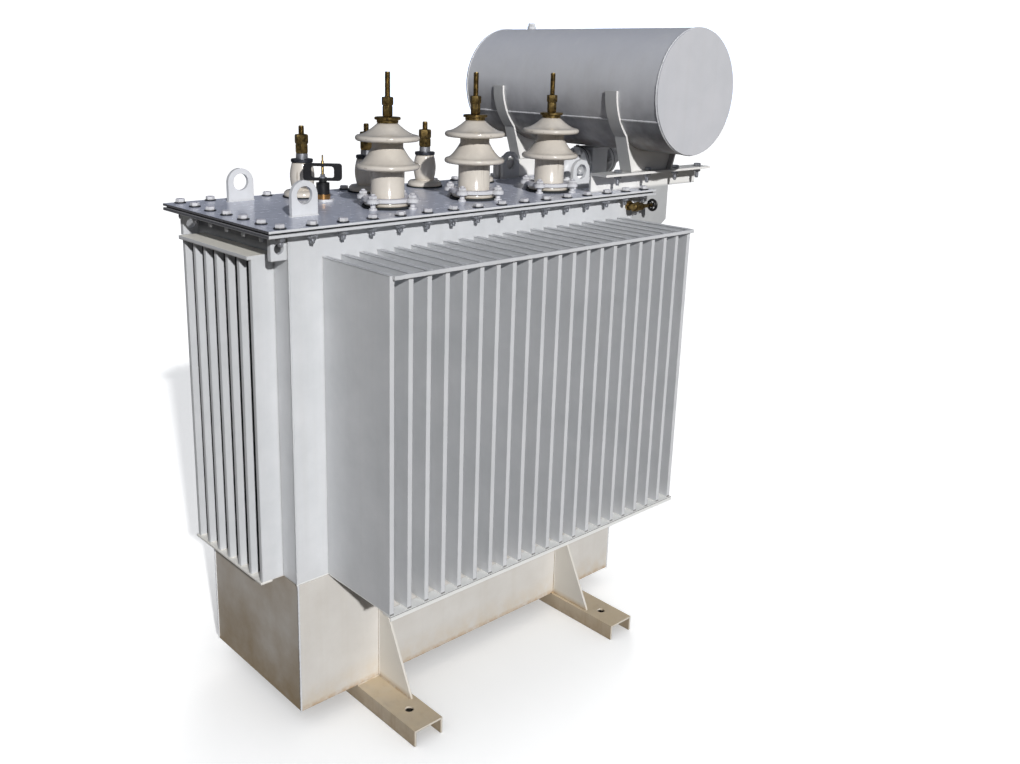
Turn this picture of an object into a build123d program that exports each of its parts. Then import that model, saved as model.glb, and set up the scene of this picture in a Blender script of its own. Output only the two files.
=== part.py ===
from build123d import *
import math
import os

# Oil-filled distribution transformer: skids, finned tank, bolted cover with bushings, oil conservator.
# Millimetres, +Z up, X along the tank towards the conservator, the high-voltage side faces -Y.

# Skids: two channels laid web up across the tank, with a gusset at each end
skid_setback = 198
channel_width = 80
channel_height = 40
channel_wall = 5
skid_overrun = 214
skid_hole_diameter = 20
skid_hole_setback = 70
gusset_thickness = 6
gusset_reach = 124
gusset_height = 244
gusset_inset = 28

# Tank: a plain lower box and an upper box clad with folded-sheet fin walls
tank_length = 1056
tank_width = 396
lower_inset = 5
lower_height = 322
fin_height = 718
fin_neck = 55
sheet = 2
fin_thickness = 11
side_fin_depth = 226
side_fin_pitch = 46
side_fin_start = 80
side_fin_end = 45
end_fin_depth = 52
end_fin_pitch = 48
end_fin_start = 55
end_fin_end = 38
fin_bar = 8
fin_bar_setback = 6
fin_bar_overrun = 4
fin_strip_width = 24
fin_strip_thickness = 4
end_plate_thickness = 8
end_plate_overhang = 9

# Flange, gasket and cover
cover_side_overhang = 31
cover_end_overhang = 61
flange_thickness = 6
gasket_thickness = 4
gasket_setback = 6
cover_thickness = 5
corner_plate_width = 38
corner_plate_height = 52
corner_plate_thickness = 12
corner_plate_hole = 22
corner_plate_hole_height = 24
corner_plate_setback = 4

# Lifting lugs on the cover
lug_width = 64
lug_height = 75
lug_thickness = 10
lug_hole = 38
lug_hole_height = 44
lug_end_distance = 100
lug_from_front = 99
lug_from_back = 29

# High-voltage bushings
hv_from_left = 325
hv_from_right = 211
hv_from_front = 106
hv_collar_radius = 56
hv_collar_height = 5
hv_foot_radius = 52
hv_foot_height = 10
hv_body_radius = 38
hv_body_height = 70
hv_neck_radius = 35
hv_shed_radius = 72
hv_shed_height = 48
hv_top_shed_height = 39
hv_rim = 13
hv_shed_gap = 14
hv_head_radius = 22
hv_clamp_thickness = 8
hv_clamp_radius = 57
hv_clamp_lobe_radius = 14
hv_clamp_stud_radius = 64
hv_clamp_lobes = 4
hv_clamp_angle = 23
hv_clamp_gap = 1
hv_washer_radius = 29
hv_washer_thickness = 6
hv_cap_radius = 24
hv_cap_height = 7
hv_lower_nut = 20
hv_lower_nut_height = 25
hv_upper_nut = 23
hv_upper_nut_height = 18
hv_stud_diameter = 13
hv_stud_length = 54

# Low-voltage bushings
lv_count = 4
lv_from_left = 256
lv_from_right = 239
lv_from_back = 46
lv_foot_radius = 44
lv_foot_height = 16
lv_body_radius = 24
lv_shed_radius = 29
lv_body_height = 67
lv_washer_radius = 26
lv_washer_thickness = 7
lv_cap_radius = 14
lv_cap_height = 13
lv_nut = 28
lv_nut_height = 22
lv_nut_count = 2
lv_stud_diameter = 14
lv_stud_length = 20

# Tap changer with a loop handle that turns about its spindle
tap_from_left = 255
tap_from_back = 135
tap_boss_radius = 24
tap_boss_height = 6
tap_ring_radius = 17
tap_ring_height = 11
tap_body_radius = 15.5
tap_body_height = 26
tap_spindle_diameter = 6
tap_spindle_clearance = 0.4
tap_spindle_end = 6
handle_length = 88
handle_height = 39
handle_side = 17
handle_bar = 6
handle_depth = 14
handle_corner = 7
handle_gap = 5
handle_hub_diameter = 18
handle_hub_clearance = 0.5
handle_angle = -42

# Conservator: a drum across the tank's end on two saddles
drum_radius = 156
drum_wall = 4
drum_length = 696
drum_beyond_tank = 42
drum_centre_height = 256
drum_end_thickness = 5
filler_radius = 12
filler_height = 16
filler_from_end = 104
saddle_beyond_wall = 8
saddle_strip_width = 38
saddle_strip_thickness = 6
saddle_web = 8
saddle_foot = 156
saddle_wrap = 45

# Conservator brackets: an angle over the cover, carried past it on a knee plate
beam_height = 50
beam_leg = 56
beam_thickness = 6
beam_start = 151
beam_end = 289
knee_drop = 190
knee_reach = 170
knee_clearance = 4
knee_foot = 80

# Oil pipe from the cover through a gas relay into the conservator
pipe_radius = 20
pipe_wall = 3
pipe_bend_radius = 30
pipe_height = 57
pipe_flange_radius = 40
pipe_flange_thickness = 10
riser_reach = 56
outlet_reach = 53
relay_length = 106
relay_neck_radius = 24
relay_body_length = 62
relay_body_width = 64
relay_body_rise = 33
relay_body_drop = 42
relay_lid_thickness = 6
relay_lid_overhang = 4

# Oil valve on the front wall, above the fins at the conservator end
valve_from_end = 14
valve_drop = 26
valve_reach = 30
valve_neck_radius = 9
valve_body_radius = 11
valve_body_length = 34
valve_stem_radius = 5
valve_stem_length = 42
valve_wheel_radius = 17
valve_wheel_thickness = 9

# Levels
lower_bottom = channel_height
fin_bottom = lower_bottom + lower_height
fin_top = fin_bottom + fin_height
flange_bottom = fin_top + fin_neck
gasket_bottom = flange_bottom + flange_thickness
cover_bottom = gasket_bottom + gasket_thickness
cover_top = cover_bottom + cover_thickness
beam_top = cover_top + beam_height
drum_centre_z = cover_top + drum_centre_height

# The origin is under the middle of the overall length
half_length = tank_length / 2
half_width = tank_width / 2
reach_left = half_length + max(cover_end_overhang, end_fin_depth + end_plate_overhang)
reach_right = half_length + max(beam_end, drum_beyond_tank + drum_radius + saddle_strip_thickness)
tank_x = (reach_left - reach_right) / 2
left_x = tank_x - half_length
right_x = tank_x + half_length
drum_x = right_x + drum_beyond_tank

parts = {}


def block(x0, x1, y0, y1, z0, z1):
    return Pos((x0 + x1) / 2, (y0 + y1) / 2, (z0 + z1) / 2) * Box(x1 - x0, y1 - y0, z1 - z0)


def disc(radius, bottom, height):
    return Pos(0, 0, bottom) * extrude(Circle(radius), height)


def hex_nut(across_flats, bottom, height):
    corner_radius = across_flats / math.sqrt(3)
    return Pos(0, 0, bottom) * extrude(RegularPolygon(corner_radius, 6), height)


def turned(edges):
    return revolve(Plane.XZ * make_face(edges), Axis.Z)


def across(plate_face, y_middle, thickness):
    return Pos(0, y_middle, 0) * extrude(Plane.XZ * plate_face, thickness / 2, both=True)


# Skids
skid_end = half_width + skid_overrun
wall_y = half_width - lower_inset
channel_outline = make_face(Polyline(
    (-channel_width / 2, 0),
    (-channel_width / 2, channel_height),
    (channel_width / 2, channel_height),
    (channel_width / 2, 0),
    (channel_width / 2 - channel_wall, 0),
    (channel_width / 2 - channel_wall, channel_height - channel_wall),
    (-channel_width / 2 + channel_wall, channel_height - channel_wall),
    (-channel_width / 2 + channel_wall, 0),
    close=True,
))
gusset_outline = make_face(Polyline(
    (wall_y, channel_height),
    (wall_y + gusset_reach, channel_height),
    (wall_y, channel_height + gusset_height),
    close=True,
))
channel = across(channel_outline, 0, 2 * skid_end)
hole_y = skid_end - skid_hole_setback
for side in (-1, 1):
    channel -= Pos(0, side * hole_y, 0) * Cylinder(skid_hole_diameter / 2, 3 * channel_height)
for name, side in (("skid_left", -1), ("skid_right", 1)):
    gusset = Pos(-side * gusset_inset, 0, 0) * extrude(Plane.YZ * gusset_outline, gusset_thickness / 2, both=True)
    skid = channel + gusset + mirror(gusset, about=Plane.XZ)
    parts[name] = Pos(tank_x + side * (half_length - skid_setback), 0, 0) * skid

# Tank boxes
parts["lower_tank"] = block(
    left_x + lower_inset, right_x - lower_inset, -wall_y, wall_y, lower_bottom, fin_bottom)
parts["upper_tank"] = block(
    left_x + sheet, right_x - sheet, -half_width + sheet, half_width - sheet, fin_bottom, cover_bottom)


# Fin walls: one folded sheet whose hollow fins open into the tank
def fin_lefts(length, start, end, pitch):
    count = int((length - start - end - fin_thickness) // pitch) + 1
    return [start + number * pitch for number in range(count)]


def fin_wall(length, lefts, depth):
    flat = block(0, length, 0, sheet, fin_bottom, flange_bottom)
    fins = [block(x, x + fin_thickness, -depth, sheet, fin_bottom, fin_top) for x in lefts]
    pockets = [
        block(x + sheet, x + fin_thickness - sheet, sheet - depth, sheet, fin_bottom + sheet, fin_top - sheet)
        for x in lefts
    ]
    bottom_strip = block(
        lefts[0], lefts[-1] + fin_thickness + fin_bar_overrun,
        -depth - fin_strip_thickness, fin_strip_width - depth,
        fin_bottom - fin_strip_thickness, fin_bottom)
    return flat + fins + [bottom_strip] - pockets


# The side fins carry a bar along their tips, the end fins a plate over their tops
side_lefts = fin_lefts(tank_length, side_fin_start, side_fin_end, side_fin_pitch)
top_bar = block(
    side_lefts[0] + fin_bar_setback, side_lefts[-1] + fin_thickness + fin_bar_overrun,
    -side_fin_depth - fin_bar, -side_fin_depth, fin_top - fin_bar, fin_top)
side_fins = fin_wall(tank_length, side_lefts, side_fin_depth) + top_bar
end_length = tank_width - 2 * sheet
end_lefts = fin_lefts(end_length, end_fin_start, end_fin_end, end_fin_pitch)
end_plate = block(
    end_lefts[0], end_lefts[-1] + fin_thickness, -end_fin_depth - end_plate_overhang, 0,
    fin_top, fin_top + end_plate_thickness)
end_fins = fin_wall(end_length, end_lefts, end_fin_depth) + end_plate
front_fins = Pos(left_x, -half_width, 0) * side_fins
left_fins = Pos(left_x, -half_width + sheet, 0) * Rot(0, 0, -90) * mirror(end_fins, about=Plane.YZ)
parts["front_fin_wall"] = front_fins
parts["back_fin_wall"] = mirror(front_fins, about=Plane.XZ)
parts["left_fin_wall"] = left_fins
parts["right_fin_wall"] = Pos(2 * tank_x, 0, 0) * mirror(left_fins, about=Plane.YZ)


# Flange, gasket and cover
def cover_outline(setback):
    return Rectangle(
        tank_length + 2 * (cover_end_overhang - setback), tank_width + 2 * (cover_side_overhang - setback))


def frame_plate(setback, bottom, thickness):
    inner = Rectangle(tank_length - 2 * sheet, tank_width - 2 * sheet)
    return Pos(tank_x, 0, bottom) * extrude(cover_outline(setback) - inner, thickness)


corner_outline = Pos(0, -corner_plate_height / 2) * Rectangle(corner_plate_width, corner_plate_height)
corner_outline -= Pos(0, corner_plate_hole_height - corner_plate_height) * Circle(corner_plate_hole / 2)
corner_plate_y = half_width - corner_plate_setback - corner_plate_thickness / 2
tank_flange = frame_plate(0, flange_bottom, flange_thickness)
for x in (left_x - corner_plate_width / 2, right_x + corner_plate_width / 2):
    for y in (-corner_plate_y, corner_plate_y):
        tank_flange += Pos(x, 0, flange_bottom) * across(corner_outline, y, corner_plate_thickness)
parts["tank_flange"] = tank_flange
parts["cover_gasket"] = frame_plate(gasket_setback, gasket_bottom, gasket_thickness)
parts["cover"] = Pos(tank_x, 0, cover_bottom) * extrude(cover_outline(0), cover_thickness)

# Lifting lugs
lug_round = lug_width / 2
lug_outline = Pos(0, (lug_height - lug_round) / 2) * Rectangle(lug_width, lug_height - lug_round)
lug_outline += Pos(0, lug_height - lug_round) * Circle(lug_round)
lug_outline -= Pos(0, lug_hole_height) * Circle(lug_hole / 2)
lug = across(lug_outline, 0, lug_thickness)
for end, lug_x in (("left", left_x + lug_end_distance), ("right", right_x - lug_end_distance)):
    for side, lug_y in (("front", lug_from_front - half_width), ("back", half_width - lug_from_back)):
        parts["lifting_lug_" + side + "_" + end] = Pos(lug_x, lug_y, cover_top) * lug


# High-voltage bushings
def shed_edges(bottom, height, radius_below, radius_above):
    underside_end = hv_shed_radius - hv_rim / 2
    rim_top = bottom + hv_rim
    top = bottom + height
    underside = Line((radius_below, bottom), (underside_end, bottom))
    rim = ThreePointArc(
        (underside_end, bottom), (hv_shed_radius, bottom + hv_rim / 2), (underside_end, rim_top))
    sweep_middle = ((underside_end + 2 * radius_above) / 3, rim_top + (top - rim_top) / 2.6)
    return [underside, rim, ThreePointArc((underside_end, rim_top), sweep_middle, (radius_above, top))]


foot_top = hv_collar_height + hv_foot_height
lower_shed = foot_top + hv_body_height
neck_bottom = lower_shed + hv_shed_height
upper_shed = neck_bottom + hv_shed_gap
hv_head = upper_shed + hv_top_shed_height
porcelain_edges = [
    Line((0, hv_collar_height), (hv_foot_radius, hv_collar_height)),
    Line((hv_foot_radius, hv_collar_height), (hv_foot_radius, foot_top)),
    Line((hv_foot_radius, foot_top), (hv_body_radius, foot_top)),
    Line((hv_body_radius, foot_top), (hv_body_radius, lower_shed)),
]
porcelain_edges += shed_edges(lower_shed, hv_shed_height, hv_body_radius, hv_neck_radius)
porcelain_edges += [Line((hv_neck_radius, neck_bottom), (hv_neck_radius, upper_shed))]
porcelain_edges += shed_edges(upper_shed, hv_top_shed_height, hv_neck_radius, hv_head_radius)
porcelain_edges += [
    Line((hv_head_radius, hv_head), (0, hv_head)),
    Line((0, hv_head), (0, hv_collar_height)),
]
hv_porcelain = turned(porcelain_edges)

clamp_outline = Circle(hv_clamp_radius)
for position in PolarLocations(hv_clamp_stud_radius, hv_clamp_lobes, start_angle=hv_clamp_angle):
    clamp_outline += position * Circle(hv_clamp_lobe_radius)
clamp_outline -= Circle(hv_body_radius + hv_clamp_gap)
hv_clamp = Pos(0, 0, foot_top) * extrude(clamp_outline, hv_clamp_thickness)
hv_collar = disc(hv_collar_radius, 0, hv_collar_height)

washer_bottom = hv_head + hv_cap_height
nut_bottom = washer_bottom + hv_washer_thickness
second_nut = nut_bottom + hv_lower_nut_height
stud_bottom = second_nut + hv_upper_nut_height
hv_terminal = disc(hv_cap_radius, hv_head, hv_cap_height)
hv_terminal += disc(hv_washer_radius, washer_bottom, hv_washer_thickness)
hv_terminal += hex_nut(hv_lower_nut, nut_bottom, hv_lower_nut_height)
hv_terminal += hex_nut(hv_upper_nut, second_nut, hv_upper_nut_height)
hv_terminal += disc(hv_stud_diameter / 2, stud_bottom, hv_stud_length)

phases = ("a", "b", "c")
hv_pitch = (tank_length - hv_from_left - hv_from_right) / (len(phases) - 1)
for number, phase in enumerate(phases):
    seat = Pos(left_x + hv_from_left + number * hv_pitch, hv_from_front - half_width, cover_top)
    parts["cover"] += seat * hv_collar
    parts["hv_clamp_" + phase] = seat * hv_clamp
    parts["hv_porcelain_" + phase] = seat * hv_porcelain
    parts["hv_terminal_" + phase] = seat * hv_terminal

# Low-voltage bushings
lv_head = lv_foot_height + lv_body_height
lv_shed_z = lv_foot_height + lv_body_height / 2
lv_edges = [
    Line((0, 0), (lv_foot_radius, 0)),
    Line((lv_foot_radius, 0), (lv_foot_radius, lv_foot_height)),
    Line((lv_foot_radius, lv_foot_height), (lv_body_radius, lv_foot_height)),
    ThreePointArc((lv_body_radius, lv_foot_height), (lv_shed_radius, lv_shed_z), (lv_body_radius, lv_head)),
    Line((lv_body_radius, lv_head), (0, lv_head)),
    Line((0, lv_head), (0, 0)),
]
lv_porcelain = turned(lv_edges)
lv_cap_bottom = lv_head + lv_washer_thickness
lv_nut_bottom = lv_cap_bottom + lv_cap_height
lv_stud_bottom = lv_nut_bottom + lv_nut_count * lv_nut_height
lv_terminal = disc(lv_washer_radius, lv_head, lv_washer_thickness)
lv_terminal += disc(lv_cap_radius, lv_cap_bottom, lv_cap_height)
for number in range(lv_nut_count):
    nut = hex_nut(lv_nut, lv_nut_bottom + number * lv_nut_height, lv_nut_height)
    lv_terminal += Rot(0, 0, 15 * number) * nut
lv_terminal += disc(lv_stud_diameter / 2, lv_stud_bottom, lv_stud_length)
lv_pitch = (tank_length - lv_from_left - lv_from_right) / (lv_count - 1)
for number in range(lv_count):
    seat = Pos(left_x + lv_from_left + number * lv_pitch, half_width - lv_from_back, cover_top)
    parts["lv_porcelain_" + str(number + 1)] = seat * lv_porcelain
    parts["lv_terminal_" + str(number + 1)] = seat * lv_terminal

# Tap changer
tap_seat = Pos(left_x + tap_from_left, half_width - tap_from_back, cover_top)
body_bottom = tap_boss_height + tap_ring_height
tap_top = body_bottom + tap_body_height
handle_bottom = tap_top + handle_gap
handle_top = handle_bottom + handle_height
spindle_top = handle_top + tap_spindle_end
spindle_hole = tap_spindle_diameter / 2 + tap_spindle_clearance
tap_body = disc(tap_body_radius, body_bottom, tap_body_height)
tap_body += disc(tap_spindle_diameter / 2, tap_top, spindle_top - tap_top)
parts["cover"] += tap_seat * disc(tap_boss_radius, 0, tap_boss_height)
parts["tap_changer_ring"] = tap_seat * disc(tap_ring_radius, tap_boss_height, tap_ring_height)
parts["tap_changer_body"] = tap_seat * tap_body
loop_outline = RectangleRounded(handle_length, handle_height, handle_corner)
loop_outline -= RectangleRounded(handle_length - 2 * handle_side, handle_height - 2 * handle_bar, handle_corner)
handle = Pos(0, 0, handle_bottom + handle_height / 2) * across(loop_outline, 0, handle_depth)
hub_bottom = tap_top + handle_hub_clearance
handle += disc(handle_hub_diameter / 2, hub_bottom, handle_bottom + handle_bar - hub_bottom)
handle -= disc(spindle_hole, 0, spindle_top)
parts["tap_changer_handle"] = tap_seat * Rot(0, 0, handle_angle) * handle

# Conservator drum
drum_turn = Pos(drum_x, 0, drum_centre_z) * Rot(90, 0, 0)
shell_length = drum_length - 2 * drum_end_thickness
drum_outline = Circle(drum_radius) - Circle(drum_radius - drum_wall)
parts["conservator_shell"] = drum_turn * extrude(drum_outline, shell_length / 2, both=True)
drum_end = extrude(Circle(drum_radius), drum_end_thickness)
parts["conservator_front_end"] = drum_turn * Pos(0, 0, shell_length / 2) * drum_end
parts["conservator_back_end"] = drum_turn * Pos(0, 0, -drum_length / 2) * drum_end
drum_solid = drum_turn * Cylinder(drum_radius, drum_length)
filler_bottom = drum_centre_z
filler_y = drum_length / 2 - filler_from_end
filler = Pos(drum_x, filler_y, 0) * disc(filler_radius, filler_bottom, drum_radius + filler_height)
parts["filler_cap"] = filler - drum_solid

# Saddles: a web under the drum, edged by a strip that follows the drum up to its middle
wrap = math.radians(saddle_wrap)
strip_in = drum_radius
strip_out = drum_radius + saddle_strip_thickness
foot_z = beam_top - drum_centre_z
saddle_offset = half_width + saddle_beyond_wall
foot_in = saddle_foot / 2
foot_out = foot_in + saddle_strip_thickness


def wrap_point(radius, angle):
    return (radius * math.cos(angle), -radius * math.sin(angle))


strip_outline = make_face([
    ThreePointArc((strip_in, 0), wrap_point(strip_in, wrap / 2), wrap_point(strip_in, wrap)),
    Line(wrap_point(strip_in, wrap), (foot_in, foot_z)),
    Line((foot_in, foot_z), (foot_out, foot_z)),
    Line((foot_out, foot_z), wrap_point(strip_out, wrap)),
    ThreePointArc(wrap_point(strip_out, wrap), wrap_point(strip_out, wrap / 2), (strip_out, 0)),
    Line((strip_out, 0), (strip_in, 0)),
])
web_corner = wrap_point(strip_in, wrap)
web_outline = make_face([
    Line((-foot_in, foot_z), (foot_in, foot_z)),
    Line((foot_in, foot_z), web_corner),
    ThreePointArc(web_corner, (0, -strip_in), (-web_corner[0], web_corner[1])),
    Line((-web_corner[0], web_corner[1]), (-foot_in, foot_z)),
])
strip = across(strip_outline, 0, saddle_strip_width)
saddle = strip + mirror(strip, about=Plane.YZ) + across(web_outline, 0, saddle_web)
for name, side in (("front_saddle", -1), ("back_saddle", 1)):
    parts[name] = Pos(drum_x, side * saddle_offset, drum_centre_z) * saddle

# Brackets: an angle on the cover, held past the cover's end by a knee plate on the tank's end wall
cover_end = right_x + cover_end_overhang
knee_x = cover_end + knee_clearance
notch_x = right_x + corner_plate_width + knee_clearance
knee_top = flange_bottom - knee_clearance
notch_top = knee_top - corner_plate_height
web_face = make_face(Polyline(
    (right_x - beam_start, cover_top),
    (right_x - beam_start, beam_top),
    (right_x + beam_end, beam_top),
    (right_x + beam_end, cover_top),
    (right_x + knee_reach, cover_top),
    (right_x + knee_reach, flange_bottom - knee_foot),
    (right_x, flange_bottom - knee_drop),
    (right_x, notch_top),
    (notch_x, notch_top),
    (notch_x, knee_top),
    (knee_x, knee_top),
    (knee_x, cover_top),
    close=True,
))
leg_inner = saddle_offset - beam_leg / 2
beam_web = across(web_face, -leg_inner - beam_thickness / 2, beam_thickness)
beam_top_leg = block(
    right_x - beam_start, right_x + beam_end,
    -leg_inner - beam_leg, -leg_inner,
    beam_top - beam_thickness, beam_top)
bracket = beam_web + beam_top_leg
parts["front_bracket"] = bracket
parts["back_bracket"] = mirror(bracket, about=Plane.XZ)

# Oil pipe: a riser from the cover and an outlet that bends up into the drum, with the gas relay between them
def along_x(radius, start, length):
    return Pos(start, 0, 0) * Rot(0, 90, 0) * extrude(Circle(radius), length)


def bent_pipe(first, corner, last):
    route = Plane.XZ * FilletPolyline(first, corner, last, radius=pipe_bend_radius)
    outside, bore = [
        sweep((route ^ 0) * Circle(radius), route) for radius in (pipe_radius, pipe_radius - pipe_wall)]
    return outside, bore


pipe_seat = Pos(right_x, 0, cover_top + pipe_height)
riser, riser_bore = bent_pipe((-riser_reach, -pipe_height), (-riser_reach, 0), (0, 0))
riser += along_x(pipe_flange_radius, -pipe_flange_thickness, pipe_flange_thickness)
riser += Pos(-riser_reach, 0, 0) * disc(pipe_flange_radius, -pipe_height, pipe_flange_thickness)
outlet_x = relay_length + outlet_reach
outlet, outlet_bore = bent_pipe((relay_length, 0), (outlet_x, 0), (outlet_x, drum_centre_height - pipe_height))
outlet += along_x(pipe_flange_radius, relay_length, pipe_flange_thickness)
outlet_pipe = pipe_seat * (outlet - outlet_bore) - drum_solid
parts["oil_pipe"] = Compound(children=[pipe_seat * (riser - riser_bore), outlet_pipe])

body_start = (relay_length - relay_body_length) / 2
body_half = relay_body_width / 2
lid_top = relay_body_rise + relay_lid_thickness
relay = along_x(relay_neck_radius, 0, relay_length)
relay += along_x(pipe_flange_radius, 0, pipe_flange_thickness)
relay += along_x(pipe_flange_radius, relay_length - pipe_flange_thickness, pipe_flange_thickness)
relay += block(
    body_start, body_start + relay_body_length, -body_half, body_half, -relay_body_drop, relay_body_rise)
relay += block(
    body_start - relay_lid_overhang, body_start + relay_body_length + relay_lid_overhang,
    -body_half - relay_lid_overhang, body_half + relay_lid_overhang, relay_body_rise, lid_top)
parts["gas_relay"] = pipe_seat * relay

# Oil valve: a neck out of the wall, a body along it and a handwheel past the corner
stem_start = valve_body_length / 2
wheel_start = stem_start + valve_stem_length
valve = along_x(valve_body_radius, -stem_start, valve_body_length)
valve += along_x(valve_stem_radius, stem_start, valve_stem_length)
valve += along_x(valve_wheel_radius, wheel_start, valve_wheel_thickness)
valve += Rot(-90, 0, 0) * extrude(Circle(valve_neck_radius), valve_reach)
parts["oil_valve"] = Pos(right_x - valve_from_end, -half_width - valve_reach, flange_bottom - valve_drop) * valve

os.makedirs("parts", exist_ok=True)
for name, shape in parts.items():
    export_step(shape, "parts/" + name + ".step")
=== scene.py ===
import math
import bmesh
import bpy
from mathutils import Matrix, Vector, noise


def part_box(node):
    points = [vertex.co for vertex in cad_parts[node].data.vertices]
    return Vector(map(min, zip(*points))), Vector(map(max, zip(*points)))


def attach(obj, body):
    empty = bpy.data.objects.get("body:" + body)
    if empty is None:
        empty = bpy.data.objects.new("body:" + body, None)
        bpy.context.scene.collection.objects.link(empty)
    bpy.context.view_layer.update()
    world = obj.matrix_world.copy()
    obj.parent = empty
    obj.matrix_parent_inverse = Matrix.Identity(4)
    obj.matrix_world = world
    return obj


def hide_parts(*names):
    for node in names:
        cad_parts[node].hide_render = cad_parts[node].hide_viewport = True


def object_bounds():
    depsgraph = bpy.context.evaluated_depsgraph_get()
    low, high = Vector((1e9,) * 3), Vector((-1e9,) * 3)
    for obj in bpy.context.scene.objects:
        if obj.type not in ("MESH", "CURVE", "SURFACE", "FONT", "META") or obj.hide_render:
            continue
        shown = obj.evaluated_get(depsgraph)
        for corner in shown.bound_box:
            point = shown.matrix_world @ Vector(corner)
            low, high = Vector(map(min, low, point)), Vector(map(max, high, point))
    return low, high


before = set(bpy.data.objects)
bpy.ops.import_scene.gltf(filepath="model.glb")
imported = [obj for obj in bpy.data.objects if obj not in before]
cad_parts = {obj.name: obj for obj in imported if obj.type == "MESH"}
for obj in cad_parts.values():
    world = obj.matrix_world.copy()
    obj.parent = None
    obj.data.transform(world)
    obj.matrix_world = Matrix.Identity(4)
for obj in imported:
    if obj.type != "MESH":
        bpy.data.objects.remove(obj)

cadBox = [list(corner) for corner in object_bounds()]
scene = bpy.context.scene
mm = 0.001

# Levels and edges that several pieces share, read from the frame
tankSheet = {"thickness": 2, "neckAboveFins": 55}  # mm
tank = {
    "left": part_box("back_fin_wall")[0].x,
    "right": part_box("back_fin_wall")[1].x,
    "front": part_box("upper_tank")[0].y - tankSheet["thickness"] * mm,
    "back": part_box("upper_tank")[1].y + tankSheet["thickness"] * mm,
    "ground": cadBox[0][2],
    "bottom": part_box("lower_tank")[0].z,
    "finBottom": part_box("upper_tank")[0].z,
    "finTop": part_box("front_fin_wall")[1].z - tankSheet["neckAboveFins"] * mm,
    "underFlange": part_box("front_fin_wall")[1].z,
    "coverTop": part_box("lifting_lug_front_left")[0].z,
    "drumMiddle": sum(corner.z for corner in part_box("conservator_shell")) / 2,
}


def hexToLinear(code):
    values = [int(code[k:k + 2], 16) / 255 for k in (1, 3, 5)]
    return tuple(v / 12.92 if v <= 0.04045 else ((v + 0.055) / 1.055) ** 2.4 for v in values) + (1,)


# Adds one node: settings are its properties or unlinked inputs, links feed its other inputs.
def addNode(tree, kind, settings=None, links=None):
    node = tree.nodes.new("ShaderNode" + kind)
    for name, value in (settings or {}).items():
        if name == "stops":  # a colour ramp's places and colours
            while len(node.color_ramp.elements) < len(value):
                node.color_ramp.elements.new(0.5)
            for element, (spot, code) in zip(node.color_ramp.elements, value):
                element.position = spot
                element.color = hexToLinear(code)
        elif isinstance(name, str) and hasattr(node, name):
            setattr(node, name, value)
        else:
            node.inputs[name].default_value = value
    for name, source in (links or {}).items():
        tree.links.new(source, node.inputs[name])
    return node


def newMaterial(name, settings):
    material = bpy.data.materials.new(name)
    material.use_nodes = True
    tree = material.node_tree
    shader = tree.nodes["Principled BSDF"]
    for socket, value in settings.items():
        shader.inputs[socket].default_value = value
    place = addNode(tree, "TexCoord").outputs["Object"]
    return material, tree, shader, place


# Lays a film of another colour over a surface, where all the covers meet: dust, grime, rust, painted light
# and painted shade.
def layFilm(tree, under, covers, code, share):
    cover = covers[0]
    for other in covers[1:]:
        both = {"operation": "MULTIPLY", "use_clamp": True}
        cover = addNode(tree, "Math", both, {0: cover, 1: other}).outputs[0]
    amount = addNode(tree, "Math", {"operation": "MULTIPLY", 1: share}, {0: cover}).outputs[0]
    over = {"Color2": hexToLinear(code)}
    return addNode(tree, "MixRGB", over, {"Fac": amount, "Color1": under}).outputs[0]


# A patchy cover: noise of one patch size in mm, kept where it is above a level.
def patches(tree, place, size, low, high, stretch=(1, 1, 1)):
    spread = addNode(tree, "Mapping", {"Scale": stretch}, {"Vector": place}).outputs[0]
    grain = {"Scale": 1 / (size * mm), "Detail": 5, "Roughness": 0.62}
    cloud = addNode(tree, "TexNoise", grain, {"Vector": spread}).outputs["Fac"]
    return addNode(tree, "MapRange", {"From Min": low, "From Max": high}, {"Value": cloud}).outputs[0]


# How far a point is shut in, by ambient occlusion: the darkening laid there is partly dirt and partly painted
# shade; it starts at the clear level and is thickest at the shut one.
def shutInDirtAndShade(tree, reach, clear, shut):
    openness = addNode(tree, "AmbientOcclusion", {"samples": 4, "Distance": reach * mm}).outputs["AO"]
    return addNode(tree, "MapRange", {"From Min": clear, "From Max": shut}, {"Value": openness}).outputs[0]


# Where a film lies: between levels in mm from an edge of the tank, on faces that look one way, in patches.
def filmCovers(tree, place, facing, spot, film):
    covers = []
    for axis, datum, full, gone in film.get("levels", []):
        ends = {"From Min": tank[datum] + gone * mm, "From Max": tank[datum] + full * mm}
        covers.append(addNode(tree, "MapRange", ends, {"Value": spot.outputs[axis]}).outputs[0])
    if "faces" in film:
        axis, sense = film["faces"]
        ends = {"From Min": 0.5 * sense, "From Max": sense}
        covers.append(addNode(tree, "MapRange", ends, {"Value": facing.outputs[axis]}).outputs[0])
    if "patch" in film:
        covers.append(patches(tree, place, film["patch"], *film.get("spread", (0.32, 0.6))))
    return covers


# Sizes in mm of what shows in the enamel. Real orange peel is about 2 mm; it is drawn at 5 mm to show.
enamelGrain = {
    "mottle": 90, "runs": 26, "runStretch": (1, 1, 0.04), "dust": 70, "sheen": 18, "sag": 240,
    "peel": 5, "peelDepth": 0.25, "nook": (12, 0.62, 0.2),
}


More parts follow.
